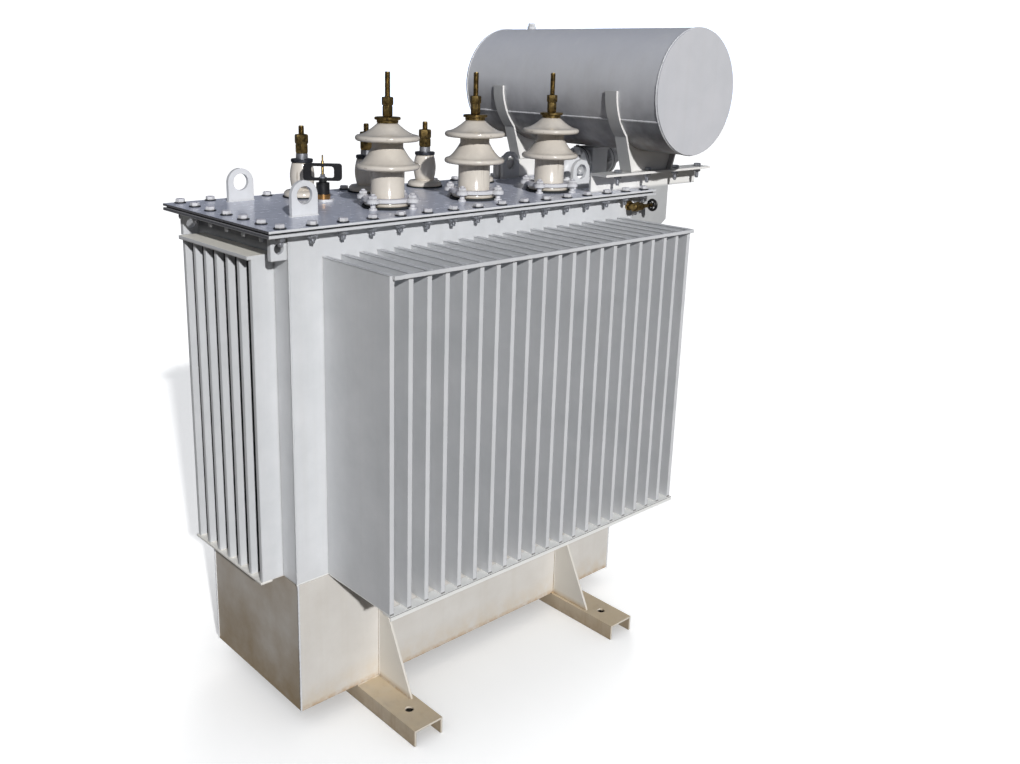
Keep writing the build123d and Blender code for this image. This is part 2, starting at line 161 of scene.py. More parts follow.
# Alkyd enamel sprayed or brushed on steel: satin, faintly mottled, orange peel up close, rain marks down the
# walls and dust on what faces up.
def alkydEnamel(recipe):
    material, tree, shader, place = newMaterial(recipe["name"], {"IOR": 1.48})
    g = enamelGrain
    facing = addNode(tree, "SeparateXYZ", links={"Vector": addNode(tree, "NewGeometry").outputs["Normal"]})
    spot = addNode(tree, "SeparateXYZ", links={"Vector": place})
    dark, light = recipe["colours"]
    mottle = patches(tree, place, g["mottle"], 0.3, 0.7)
    colour = addNode(tree, "ValToRGB", {"stops": [(0, dark), (1, light)]}, {"Fac": mottle}).outputs[0]
    runs = patches(tree, place, g["runs"], 0.5, 0.8, g["runStretch"])
    colour = layFilm(tree, colour, [runs], recipe["runs"], recipe.get("runShare", 0.22))
    level = {"From Min": 0.25, "From Max": 0.85}
    upward = addNode(tree, "MapRange", level, {"Value": facing.outputs["Z"]}).outputs[0]
    settled = patches(tree, place, g["dust"], *recipe.get("dustPatch", (0.1, 0.5)))
    colour = layFilm(tree, colour, [upward, settled], recipe["dust"], recipe.get("dustShare", 0.8))
    for film in recipe.get("films", []):
        covers = filmCovers(tree, place, facing, spot, film)
        colour = layFilm(tree, colour, covers, film["colour"], film["share"])
    # Darker in the nooks: dirt, and painted shade where the corners are shut in.
    creviceDirtAndShade = shutInDirtAndShade(tree, *g["nook"])
    colour = layFilm(tree, colour, [creviceDirtAndShade], recipe.get("creviceDirtAndShadeColour", "#6f675c"), recipe["creviceDirtAndShade"])
    tree.links.new(colour, shader.inputs["Base Color"])
    lowest, highest = recipe["roughness"]
    sheen = patches(tree, place, g["sheen"], 0.3, 0.7)
    rough = addNode(tree, "MapRange", {"To Min": lowest, "To Max": highest}, {"Value": sheen}).outputs[0]
    tree.links.new(rough, shader.inputs["Roughness"])
    peel = addNode(tree, "TexNoise", {"Scale": 1 / (g["peel"] * mm), "Detail": 2}, {"Vector": place})
    sag = addNode(tree, "TexNoise", {"Scale": 1 / (g["sag"] * mm), "Detail": 1}, {"Vector": place})
    rounded = addNode(tree, "Bevel", {"samples": 4, "Radius": recipe.get("edge", 1.4) * mm})
    wave = addNode(
        tree, "Bump", {"Strength": 0.5, "Distance": recipe.get("sag", 1.5) * mm},
        {"Height": sag.outputs["Fac"], "Normal": rounded.outputs[0]})
    skin = addNode(
        tree, "Bump", {"Strength": 0.25, "Distance": g["peelDepth"] * mm},
        {"Height": peel.outputs["Fac"], "Normal": wave.outputs[0]})
    tree.links.new(skin.outputs[0], shader.inputs["Normal"])
    return material


# Painted shadow: near-black on the flanks of the end fins, in a band a little way in behind their tips, where
# the fin in front shades them.
endGapShadow = {
    "colour": "#0d0d0f", "share": 0.95,
    "finDepth": 52, "band": (15, 38), "fade": 2.5, "fromFront": 62, "fromBack": 46, "edge": 1,
}


def gapShadowFilm(end, sense, s):
    outer, inner = (sense * (s["finDepth"] - depth) for depth in s["band"])
    fade = sense * s["fade"]
    return {"colour": s["colour"], "share": s["share"], "levels": [
        ("X", end, outer - fade, outer),
        ("X", end, inner, inner - fade),
        ("Y", "front", s["fromFront"], s["fromFront"] - s["edge"]),
        ("Y", "back", -s["fromBack"], s["edge"] - s["fromBack"]),
        ("Z", "finTop", 0, s["edge"])]}


enamels = {
    "tank": {  # even satin grey; painted light on the strip and lip at the feet of the fins, with a painted shadow line along their front edge
        "name": "alkyd enamel, sprayed",
        "colours": ("#d0d2d4", "#dbdcde"), "roughness": (0.36, 0.52), "runs": "#c2c1bf",
        "dust": "#b0b1b8", "dustShare": 0.5, "creviceDirtAndShade": 0.35, "edge": 2.0,
        "films": [
            # Painted light: near-white on the strip under the fins, so that it reads as sunlit.
            {"colour": "#fbfbf8", "share": 0.95, "levels": [("Z", "finBottom", 1.5, 3.5)]},
            # Painted shadow: a dark line on the faces that look to the front, at the feet of the fins near
            # their outer edges.
            {"colour": "#4c4a48", "share": 0.85, "faces": ("Y", -1),
             "levels": [("Z", "finBottom", 2.5, 4.5), ("Y", "front", -212, -192)]},
            # Painted light: near-white again on the lip below the strip.
            {"colour": "#f6f6f3", "share": 0.95, "levels": [("Z", "finBottom", -2, -1)]},
            {"colour": "#3f4048", "share": 0.9, "faces": ("X", -1),
             "levels": [("Z", "underFlange", 1.5, -0.5)]},
        ],
    },
    "ends": {  # the same grey; painted shadow between the fins, painted shade with soot below the cover, and near-white dust and strip that also paint the ledge and strip as if sunlit
        "name": "alkyd enamel, sprayed and sooty under the cover",
        "colours": ("#d0d2d4", "#dbdcde"), "roughness": (0.36, 0.52), "runs": "#c2c1bf",
        # The dust is near-white, paler than the paint: dust, and painted light that makes the ledge and strip
        # tops read as sunlit.
        "dust": "#f8f4ea", "dustShare": 0.95, "dustPatch": (0.0, 0.3), "creviceDirtAndShade": 0.45, "edge": 4.5,
        "films": [
            gapShadowFilm("left", -1, endGapShadow),
            gapShadowFilm("right", 1, endGapShadow),
            # Painted shade with soot: dark on the faces that look to -X, high on the wall under the cover's
            # overhang.
            {"colour": "#3b3c44", "share": 0.9, "faces": ("X", -1), "levels": [("Z", "finTop", 25, 7)]},
            # Painted light: near-white on the strip under the end fins, so that its edge reads as sunlit.
            {"colour": "#f8f5ee", "share": 0.9, "levels": [("Z", "finBottom", 0.5, 2.5)]},
        ],
    },
    "cover": {  # smoother and wet-looking, bluish with settled dust, dark along its shaded left edge
        "name": "alkyd enamel, sprayed and rained on",
        "colours": ("#d8dadc", "#e4e5e7"), "roughness": (0.16, 0.3), "runs": "#c9c8c6",
        "dust": "#bec2d2", "dustShare": 0.97, "dustPatch": (0.0, 0.3), "sag": 2.5,
        "creviceDirtAndShade": 0.4, "creviceDirtAndShadeColour": "#4f4d52",
        "films": [{"colour": "#3a3b43", "share": 0.9, "faces": ("X", -1)}],
    },
    "fittings": {  # a thicker coat by brush, a little brighter than the tank
        "name": "alkyd enamel, brushed",
        "colours": ("#d6d7d9", "#e2e3e5"), "roughness": (0.32, 0.5), "runs": "#c5c2bc",
        "dust": "#c2c2c6", "dustShare": 0.5, "creviceDirtAndShade": 0.45,
    },
    "clamps": {  # duller, with lilac-grey dust on the castings and bolt heads
        "name": "alkyd enamel, brushed on castings and dusty",
        "colours": ("#cdcdd0", "#dadadc"), "roughness": (0.35, 0.55), "runs": "#b9b6b2",
        "dust": "#b9b8c4", "dustShare": 0.9, "creviceDirtAndShade": 0.5,
    },
    "bracket": {  # a darker coat on the angle, with painted light on its upright front face above the cover's level, in the flat leg's shade
        "name": "alkyd enamel, brushed on rolled angle",
        "colours": ("#b3b4b5", "#c0c1c1"), "roughness": (0.36, 0.55), "runs": "#b3aea6",
        "dust": "#d3d2cf", "dustShare": 0.5, "creviceDirtAndShade": 0.45,
        "films": [
            # Painted light: near-white on the faces that look to the front, above the cover's level.
            {"colour": "#f8f6f2", "share": 0.95, "faces": ("Y", -1), "levels": [("Z", "coverTop", 6, -2)]},
        ],
    },
    "drum": {  # smooth grey, darker towards the belly with painted shade, and brown oil stains underneath
        "name": "alkyd enamel, sprayed on rolled sheet",
        "colours": ("#cccdd1", "#d5d6da"), "roughness": (0.34, 0.5), "runs": "#bcb9b5",
        "dust": "#c4c6cf", "creviceDirtAndShade": 0.25,
        "films": [
            # Painted shade: dark smoky grey towards the bottom of the drum.
            {"colour": "#2d2b33", "share": 0.95, "levels": [("Z", "drumMiddle", -101, 24)], "patch": 300},
            {"colour": "#6a543c", "share": 0.6, "levels": [("Z", "drumMiddle", -146, -96)], "patch": 45},
        ],
    },
    "drumEnd": {  # the same grey, cleaner, with faint rain marks
        "name": "alkyd enamel, sprayed on a dished end",
        "colours": ("#cecfd3", "#d6d6da"), "roughness": (0.36, 0.5), "runs": "#c6c4c2", "runShare": 0.15,
        "dust": "#c4c6cf", "creviceDirtAndShade": 0.25,
    },
    "base": {  # warm and chalky, tan mud splashed up from the foot, browner on the left end
        "name": "alkyd enamel, sprayed and splashed with mud",
        "colours": ("#d0ccc6", "#d9d6d1"), "roughness": (0.42, 0.6), "runs": "#c4bcae",
        "dust": "#c6bcab", "creviceDirtAndShade": 0.35,
        "films": [
            {"colour": "#c8b28e", "share": 0.4, "levels": [("Z", "bottom", 5, 70)], "patch": 40},
            {"colour": "#b08a57", "share": 0.75, "levels": [("Z", "bottom", 0, 14)], "patch": 16},
            {"colour": "#ab9c88", "share": 0.75, "faces": ("X", -1), "patch": 160, "spread": (0.15, 0.65)},
            {"colour": "#96805d", "share": 0.65, "faces": ("X", -1), "patch": 160, "spread": (0.15, 0.65),
             "levels": [("Z", "bottom", 20, 220)]},
        ],
    },
    "skid": {  # rough and matt, tan dust over old grey, rusty runs and feet, pale gussets
        "name": "rolled channel under old enamel and dust",
        "colours": ("#bdb09d", "#d0c6b6"), "roughness": (0.55, 0.8), "runs": "#8d6f4c", "runShare": 0.6,
        "dust": "#cfbd9f", "creviceDirtAndShade": 0.5, "creviceDirtAndShadeColour": "#5a4a38",
        "films": [
            {"colour": "#8a6942", "share": 0.55, "levels": [("Z", "ground", 0, 35)], "patch": 22},
            {"colour": "#ded8cc", "share": 0.8, "faces": ("Y", -1), "patch": 160, "spread": (0.15, 0.65)},
            {"colour": "#c9b494", "share": 0.5, "faces": ("X", -1), "patch": 160, "spread": (0.15, 0.65)},
            {"colour": "#dfdbd3", "share": 0.95, "levels": [("Z", "bottom", 15, 2)]},
        ],
    },
}
paints = {use: alkydEnamel(recipe) for use, recipe in enamels.items()}
print("enamels made:", len(paints))

# Porcelain: what shows in its glaze, in mm, and its colours
glazeLook = {
    "colours": ("#d7cfc4", "#e1dacf"), "mottle": 40, "roughness": (0.1, 0.28), "sheen": 22,
    "soot": "#6b5a42", "threads": 7, "threadStretch": (1, 1, 0.03), "dust": "#aea69e", "dustPatch": 34,
    "underside": "#83734f", "undersidePatch": 30, "creviceDirtAndShade": "#8f8167", "nook": (25, 0.7, 0.3),
    "ripple": 18, "rippleDepth": 0.6,
}


# Electrical porcelain, glazed: ivory with a wet gloss, soot washed down in threads, brown under the sheds.
def glazedPorcelain(g):
    material, tree, shader, place = newMaterial(
        "electrical porcelain, glazed", {"IOR": 1.5, "Coat Weight": 0.5, "Coat Roughness": 0.06})
    facing = addNode(tree, "SeparateXYZ", links={"Vector": addNode(tree, "NewGeometry").outputs["Normal"]})
    height = facing.outputs["Z"]
    dark, light = g["colours"]
    mottle = patches(tree, place, g["mottle"], 0.3, 0.7)
    colour = addNode(tree, "ValToRGB", {"stops": [(0, dark), (1, light)]}, {"Fac": mottle}).outputs[0]
    threads = patches(tree, place, g["threads"], 0.6, 0.72, g["threadStretch"])
    level = addNode(tree, "Math", {"operation": "ABSOLUTE"}, {0: height}).outputs[0]
    wall = addNode(tree, "MapRange", {"From Min": 0.35, "From Max": 0.1}, {"Value": level}).outputs[0]
    colour = layFilm(tree, colour, [threads, wall], g["soot"], 0.55)
    upward = addNode(tree, "MapRange", {"From Min": 0.3, "From Max": 0.7}, {"Value": height}).outputs[0]
    settled = patches(tree, place, g["dustPatch"], 0.25, 0.55)
    colour = layFilm(tree, colour, [upward, settled], g["dust"], 0.38)
    downward = addNode(tree, "MapRange", {"From Min": -0.3, "From Max": -0.9}, {"Value": height}).outputs[0]
    stained = patches(tree, place, g["undersidePatch"], 0.2, 0.5)
    colour = layFilm(tree, colour, [downward, stained], g["underside"], 0.7)
    # Darker in the nooks: dirt, and painted shade where the sheds close in.
    colour = layFilm(tree, colour, [shutInDirtAndShade(tree, *g["nook"])], g["creviceDirtAndShade"], 0.45)
    tree.links.new(colour, shader.inputs["Base Color"])
    lowest, highest = g["roughness"]
    sheen = patches(tree, place, g["sheen"], 0.35, 0.7)
    rough = addNode(tree, "MapRange", {"To Min": lowest, "To Max": highest}, {"Value": sheen}).outputs[0]
    tree.links.new(rough, shader.inputs["Roughness"])
    ripple = addNode(tree, "TexNoise", {"Scale": 1 / (g["ripple"] * mm), "Detail": 1}, {"Vector": place})
    glaze = addNode(
        tree, "Bump", {"Strength": 0.3, "Distance": g["rippleDepth"] * mm}, {"Height": ripple.outputs["Fac"]})
    tree.links.new(glaze.outputs[0], shader.inputs["Normal"])
    return material


porcelain = glazedPorcelain(glazeLook)

# Small parts: sizes in mm of what shows on all of them
partGrain = {"sheen": 6, "pits": 4, "pitDepth": 0.3, "edge": 0.6, "nook": (5, 0.75, 0.3)}


# Small turned, plated, moulded or cut parts: uneven colour, dark in the nooks with tarnish and painted shade,
# finely pitted, worn edges.
def smallPartFinish(recipe):
    material, tree, shader, place = newMaterial(recipe["name"], {"Metallic": recipe["metallic"]})
    g = partGrain
    dark, light = recipe["colours"]
    grain = patches(tree, place, recipe["patch"], 0.3, 0.7)
    colour = addNode(tree, "ValToRGB", {"stops": [(0, dark), (1, light)]}, {"Fac": grain}).outputs[0]
    # Dark in the nooks: tarnish on the metals, and painted shade on every part.
    colour = layFilm(tree, colour, [shutInDirtAndShade(tree, *g["nook"])], recipe["tarnishAndShade"], 0.8)
    tree.links.new(colour, shader.inputs["Base Color"])
    lowest, highest = recipe["roughness"]
    sheen = patches(tree, place, g["sheen"], 0.3, 0.7)
    rough = addNode(tree, "MapRange", {"To Min": lowest, "To Max": highest}, {"Value": sheen}).outputs[0]
    tree.links.new(rough, shader.inputs["Roughness"])
    pits = addNode(tree, "TexNoise", {"Scale": 1 / (g["pits"] * mm), "Detail": 3}, {"Vector": place})
    rounded = addNode(tree, "Bevel", {"samples": 4, "Radius": g["edge"] * mm})
    skin = addNode(
        tree, "Bump", {"Strength": 0.35, "Distance": g["pitDepth"] * mm},
        {"Height": pits.outputs["Fac"], "Normal": rounded.outputs[0]})
    tree.links.new(skin.outputs[0], shader.inputs["Normal"])
    return material


smallParts = {
    "brass": {  # golden where it is handled, nearly black where it isn't
        "name": "brass, turned and left to tarnish", "metallic": 1.0, "patch": 9,
        "colours": ("#3d3220", "#b89c62"), "tarnishAndShade": "#171209", "roughness": (0.28, 0.48),
    },
    "ringBrass": {  # bright and coppery
        "name": "brass ring, turned", "metallic": 1.0, "patch": 9,
        "colours": ("#c08a50", "#e8bb80"), "tarnishAndShade": "#5a3818", "roughness": (0.22, 0.4),
    },
    "zinc": {  # cool silver grey, cloudy
        "name": "steel fasteners, zinc plated", "metallic": 0.85, "patch": 9,
        "colours": ("#9a9ca3", "#c9cbd0"), "tarnishAndShade": "#3d3b3a", "roughness": (0.3, 0.5),
    },
    "washerSteel": {  # dark slate with a dull oily shine; it makes a dark ring round each cover bolt head
        "name": "steel washers, dark and oily", "metallic": 0.8, "patch": 9,
        "colours": ("#34363c", "#55575f"), "tarnishAndShade": "#17171a", "roughness": (0.35, 0.55),
    },
    "phenolic": {  # black with a soft moulded shine
        "name": "phenolic moulding, black", "metallic": 0.0, "patch": 20,
        "colours": ("#0d0d0f", "#1c1c1f"), "tarnishAndShade": "#060607", "roughness": (0.3, 0.5),
    },
    "rubber": {  # matt charcoal
        "name": "oil-proof rubber sheet, cut", "metallic": 0.0, "patch": 12,
        "colours": ("#1d2023", "#2d3135"), "tarnishAndShade": "#0c0c0d", "roughness": (0.7, 0.9),
    },
}
finishes = {use: smallPartFinish(recipe) for use, recipe in smallParts.items()}
print("materials made:", len(bpy.data.materials))

# The first row with a word that is in a node's name gives the node its finish.
finishRows = [
    (["porcelain"], porcelain),
    (["tap_changer_ring"], finishes["ringBrass"]),
    (["terminal", "oil_valve"], finishes["brass"]),
    (["tap_changer"], finishes["phenolic"]),
    (["gasket"], finishes["rubber"]),
    (["skid"], paints["skid"]),
    (["lower_tank"], paints["base"]),
    (["conservator_shell"], paints["drum"]),
    (["conservator"], paints["drumEnd"]),
    (["cover"], paints["cover"]),
    (["left_fin", "right_fin"], paints["ends"]),
    (["front_fin", "back_fin", "upper_tank", "tank_flange"], paints["tank"]),
    (["hv_clamp"], paints["clamps"]),
    (["bracket", "saddle"], paints["bracket"]),
    ([""], paints["fittings"]),
]
for nodeName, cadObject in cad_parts.items():
    matching = [finish for words, finish in finishRows if any(word in nodeName for word in words)]
    cadObject.data.materials.clear()
    cadObject.data.materials.append(matching[0])
print("solids painted:", len(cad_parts))


# Turns a profile of (radius, height) pairs in mm about the place's own Z axis; six segments make a nut.
def turn(mesh, profile, place, segments=24):
    rings = []
    for radius, height in profile:
        steps = segments if radius > 0 else 1
        angles = [2 * math.pi * k / segments for k in range(steps)]
        rings.append([mesh.verts.new(place @ Vector((
            radius * mm * math.cos(a), radius * mm * math.sin(a), height * mm))) for a in angles])
    for lower, upper in zip(rings, rings[1:]):
        for k in range(segments):
            j = (k + 1) % segments
            corners = [lower[k % len(lower)], lower[j % len(lower)]]
            corners += [upper[j % len(upper)], upper[k % len(upper)]]
            corners = list(dict.fromkeys(corners))
            if len(corners) > 2:
                mesh.faces.new(corners)


def disc(radius, bottom, top):
    return [(0, bottom), (radius, bottom), (radius, top), (0, top)]


def nut(acrossFlats, bottom, height):
    corner = acrossFlats / math.sqrt(3)
    narrow, chamfer = 0.9 * corner, 0.14 * height  # the corners are turned off at both faces
    top = bottom + height
    return [(0, bottom), (narrow, bottom), (corner, bottom + chamfer),
            (corner, top - chamfer), (narrow, top), (0, top)]


# Thread crests 2.6 mm apart on the bushings' studs: coarser than real, so that they show.
def thread(radius, bottom, top, pitch=2.6):
    root, tip = 0.84 * radius, 0.8 * radius
    profile = [(0, bottom)]
    height = bottom
    while height + pitch < top - 1:
        profile += [(root, height), (radius, height + pitch / 2)]
        height += pitch
    return profile + [(root, height), (tip, top), (0, top)]


# A weld bead: lengths in mm, and how much its thickness varies
beadLook = {"step": 4, "ripple": 6.5, "rippleShare": 0.16, "unevenShare": 0.35, "unevenScale": 90, "sides": 6}


# Lays a bead along a line: a rippled tube, half of it sunk in the joint.
def weld(mesh, points, radius, closed=False):
    b = beadLook
    step, sides = b["step"] * mm, b["sides"]
    spots = []
    ends = points + points[:1] if closed else points
    for start, end in zip(ends, ends[1:]):
        count = max(1, round((end - start).length / step))
        spots += [start.lerp(end, k / count) for k in range(count)]
    if not closed:
        spots.append(points[-1])
    rings = []
    for k, spot in enumerate(spots):
        ahead = spots[(k + 1) % len(spots)] if closed or k + 1 < len(spots) else spot
        behind = spots[k - 1] if closed or k > 0 else spot
        along = (ahead - behind).normalized()
        side = along.orthogonal().normalized()
        if abs(along.z) < 0.9:
            side = along.cross(Vector((0, 0, 1))).normalized()
        up = side.cross(along)
        ripple = b["rippleShare"] * math.sin(2 * math.pi * k * b["step"] / b["ripple"])
        size = radius * mm * (1 + ripple + b["unevenShare"] * noise.noise(spot * b["unevenScale"]))
        angles = [2 * math.pi * n / sides for n in range(sides)]
        rings.append([mesh.verts.new(spot + size * (math.cos(a) * side + math.sin(a) * up)) for a in angles])
    pairs = list(zip(rings, rings[1:]))
    if closed:
        pairs.append((rings[-1], rings[0]))
    for first, second in pairs:
        for n in range(sides):
            m = (n + 1) % sides
            mesh.faces.new((first[n], first[m], second[m], second[n]))
    if not closed:
        mesh.faces.new(rings[0])
        mesh.faces.new(list(reversed(rings[-1])))


def upright(x, y, z):
    return Matrix.Translation((x, y, z))


def turned(angle, axis="Z"):
    return Matrix.Rotation(angle, 4, axis)


def hanging(x, y, z):
    return upright(x, y, z) @ turned(math.pi, "X")


def finishPiece(name, mesh, material, body="transformer", sharp=38):
    bmesh.ops.recalc_face_normals(mesh, faces=mesh.faces[:])
    data = bpy.data.meshes.new(name)
    mesh.to_mesh(data)
    mesh.free()
    for polygon in data.polygons:
        polygon.use_smooth = True
    data.set_sharp_from_angle(angle=math.radians(sharp))
    data.materials.append(material)
    piece = bpy.data.objects.new(name, data)
    scene.collection.objects.link(piece)
    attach(piece, body)
    return piece


def middle(node):
    low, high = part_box(node)
    return (low + high) / 2


# Bolts round the cover: hexagon head and dark washer above, nut and bolt end under the flange
coverBolts = {
    "alongSide": 16, "alongEnd": 7, "beyondEnd": 27, "beyondSide": 15,
    "washer": (13, 2), "head": (18, 8), "headTurn": 1.9,
    "nut": (19, 9), "nutTurn": 0.7, "end": 6, "endLength": 20, "pitch": 3,
}


def coverBoltPlaces(b):
    x0, x1 = tank["left"] - b["beyondEnd"] * mm, tank["right"] + b["beyondEnd"] * mm
    y0, y1 = tank["front"] - b["beyondSide"] * mm, tank["back"] + b["beyondSide"] * mm
    places = []
    for k in range(b["alongSide"]):
        x = x0 + (x1 - x0) * k / (b["alongSide"] - 1)
        places += [(x, y0), (x, y1)]
    for k in range(1, b["alongEnd"] - 1):
        y = y0 + (y1 - y0) * k / (b["alongEnd"] - 1)
        places += [(x0, y), (x1, y)]
    return places


def addCoverBolts(b):
    heads, washers, nuts = bmesh.new(), bmesh.new(), bmesh.new()
    washer, thickness = b["washer"]
    headFlats, headHeight = b["head"]
    nutFlats, nutHeight = b["nut"]
    for k, (x, y) in enumerate(coverBoltPlaces(b)):
        seat = upright(x, y, tank["coverTop"])
        turn(heads, nut(headFlats, thickness, headHeight), seat @ turned(b["headTurn"] * k), 6)
        turn(washers, disc(washer, 0, thickness), seat, 24)
        below = hanging(x, y, tank["underFlange"]) @ turned(b["nutTurn"] * k)
        turn(nuts, nut(nutFlats, 0, nutHeight), below, 6)
        turn(nuts, thread(b["end"], nutHeight - 1, b["endLength"], b["pitch"]), below, 12)
    finishPiece("cover_bolt_heads", heads, paints["clamps"])
    finishPiece("cover_bolt_washers", washers, finishes["washerSteel"])
    finishPiece("cover_bolt_nuts", nuts, finishes["zinc"])


addCoverBolts(coverBolts)
print("cover bolted")

# High-voltage bushings: each porcelain turned finely, with its clamp studs, gasket and threaded terminal
highBushing = {
    "collar": 5, "foot": (52, 10), "body": (38, 70), "neck": 35, "head": 22, "fillet": 2, "footEdge": 1.5,
    "shed": (72, 48), "gap": 14, "topShed": 39, "rim": 13, "rimSteps": 8, "slopeSteps": 12, "hollow": 1.55,
    "gasket": 58, "gasketEdge": 0.6, "gasketLift": 0.2,
    "studCircle": 64, "stud": 6, "studs": 4, "studTurn": 23, "studEnd": 4, "studPitch": 2,
    "nut": (17, 7), "studWasher": (12, 2), "studCollar": (4, 5),
    "cap": (24, 7), "washer": (29, 6), "lowerNut": (20, 25), "upperNut": (23, 18), "threaded": (6.5, 54),
}


def shedProfile(bottom, height, below, above, b):
    half = b["rim"] / 2
    edge = b["shed"][0] - half
    profile = [(below, bottom + 1), (below + 4, bottom), (edge - 8, bottom - 0.5)]  # a nearly flat underside
    for k in range(b["rimSteps"] + 1):
        angle = math.radians(180 * k / b["rimSteps"] - 90)
        profile.append((edge + half * math.cos(angle), bottom + half * (1 + math.sin(angle))))
    for k in range(1, b["slopeSteps"] + 1):  # the hollow slope up to the neck
        along = k / b["slopeSteps"]
        rise = (height - b["rim"]) * along ** b["hollow"]
        profile.append((edge + (above - edge) * along, bottom + b["rim"] + rise))
    return profile


def addPorcelain(phase, seat, b):
    foot, footTop = b["foot"][0], b["collar"] + b["foot"][1]
    body, shedBottom = b["body"][0], footTop + b["body"][1]
    neckTop = shedBottom + b["shed"][1] + b["gap"]
    top = neckTop + b["topShed"]
    fillet, edge = b["fillet"], b["footEdge"]
    collar = b["collar"]
    profile = [(0, collar), (foot - edge, collar), (foot, collar + edge), (foot, footTop - fillet),
               (foot - fillet, footTop), (body + fillet, footTop), (body, footTop + fillet)]
    profile += shedProfile(shedBottom, b["shed"][1], body, b["neck"], b)
    profile += shedProfile(neckTop, b["topShed"], b["neck"], b["head"], b)
    profile += [(b["head"] - fillet, top), (0, top)]
    skin = bmesh.new()
    turn(skin, profile, seat, 72)
    piece = finishPiece("porcelain_skin_" + phase, skin, porcelain, sharp=50)
    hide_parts("hv_porcelain_" + phase)
    gasket = bmesh.new()
    outside, edge, lift = b["gasket"], b["gasketEdge"], b["gasketLift"]
    gasketTop = collar + lift
    turn(gasket, [(0, lift), (outside - edge, lift), (outside, 1), (outside, gasketTop - edge),
                  (outside - edge, gasketTop), (foot - fillet, gasketTop)], seat, 48)
    finishPiece("bushing_gasket_" + phase, gasket, finishes["rubber"])
    return top


def addClampStuds(phase, seat, b):
    studs = bmesh.new()
    clampTop = (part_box("hv_clamp_" + phase)[1].z - tank["coverTop"]) / mm
    collar, collarHeight = b["studCollar"]
    washer, thickness = b["studWasher"]
    flats, height = b["nut"]
    for k in range(b["studs"]):
        angle = math.radians(b["studTurn"] + 360 * k / b["studs"])
        reach = b["studCircle"] * mm
        place = seat @ upright(reach * math.cos(angle), reach * math.sin(angle), 0)
        turn(studs, disc(b["stud"], 0, clampTop), place, 14)
        turn(studs, [(0, 0), (b["stud"] + collar, 0), (b["stud"] + collar - 1, collarHeight - 1),
                     (b["stud"], collarHeight)], place, 14)  # the weld at its foot
        turn(studs, disc(washer, clampTop, clampTop + thickness), place, 20)
        turn(studs, nut(flats, clampTop + thickness, height), place @ turned(k), 6)
        nutTop = clampTop + thickness + height
        turn(studs, thread(b["stud"], nutTop, nutTop + b["studEnd"], b["studPitch"]), place, 12)
    finishPiece("clamp_studs_" + phase, studs, paints["clamps"])


def addHighTerminal(phase, seat, bottom, b):
    metal = bmesh.new()
    cap, capHeight = b["cap"]
    washer, thickness = b["washer"]
    capTop = bottom + capHeight
    z = capTop + thickness
    turn(metal, [(0, bottom), (cap - 1, bottom), (cap, bottom + 1), (cap, capTop), (0, capTop)], seat, 40)
    turn(metal, [(0, capTop), (washer - 1, capTop), (washer, capTop + 1), (washer, z - 1),
                 (washer - 1.5, z), (0, z)], seat, 40)
    for flats, height in (b["lowerNut"], b["upperNut"]):
        turn(metal, nut(flats, z, height), seat @ turned(0.3 * height), 6)
        z += height
    radius, length = b["threaded"]
    turn(metal, thread(radius, z, z + length), seat, 18)
    piece = finishPiece("terminal_metal_" + phase, metal, finishes["brass"])
    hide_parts("hv_terminal_" + phase)


for phaseName in "abc":
    centre = middle("hv_porcelain_" + phaseName)
    coverSeat = upright(centre.x, centre.y, tank["coverTop"])
    porcelainTop = addPorcelain(phaseName, coverSeat, highBushing)
    addClampStuds(phaseName, coverSeat, highBushing)
    addHighTerminal(phaseName, coverSeat, porcelainTop, highBushing)
print("high-voltage bushings dressed")

# Low-voltage bushings: short porcelain with one low swell, and a stack of nuts on a thick stud
lowBushing = {
    "count": 4, "foot": (44, 16), "footEdge": 1.5, "shoulder": 5, "fillet": 2,
    "body": 24, "swell": 29, "swellSteps": 14, "bodyHeight": 67, "gasket": (47, 3.4, 0.2),
    "washer": (26, 7), "cap": (14, 13), "nuts": 2, "nut": (28, 22), "nutTurn": 0.26, "threaded": (7, 20),
}


def addLowPorcelain(number, seat, b):
    foot, footTop = b["foot"]
    body, fillet, shoulder = b["body"], b["fillet"], b["shoulder"]
    top = footTop + b["bodyHeight"]
    profile = [(0, 0), (foot - 1, 0), (foot, b["footEdge"]), (foot, footTop - shoulder),
               (foot - shoulder, footTop), (body + 3, footTop)]
    for k in range(b["swellSteps"] + 1):
        along = k / b["swellSteps"]
        bulge = body + (b["swell"] - body) * math.sin(math.pi * along)
        profile.append((bulge, footTop + fillet + (b["bodyHeight"] - 2 * fillet) * along))
    profile += [(body - fillet, top), (0, top)]
    skin = bmesh.new()
    turn(skin, profile, seat, 48)
    piece = finishPiece("low_porcelain_skin_%d" % number, skin, porcelain, sharp=50)
    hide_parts("lv_porcelain_%d" % number)
    gasket = bmesh.new()
    outside, thickness, lift = b["gasket"]
    turn(gasket, [(0, lift), (outside, lift), (outside, thickness), (foot - 3, thickness + lift)], seat, 40)
    finishPiece("low_bushing_gasket_%d" % number, gasket, finishes["rubber"])
    return top


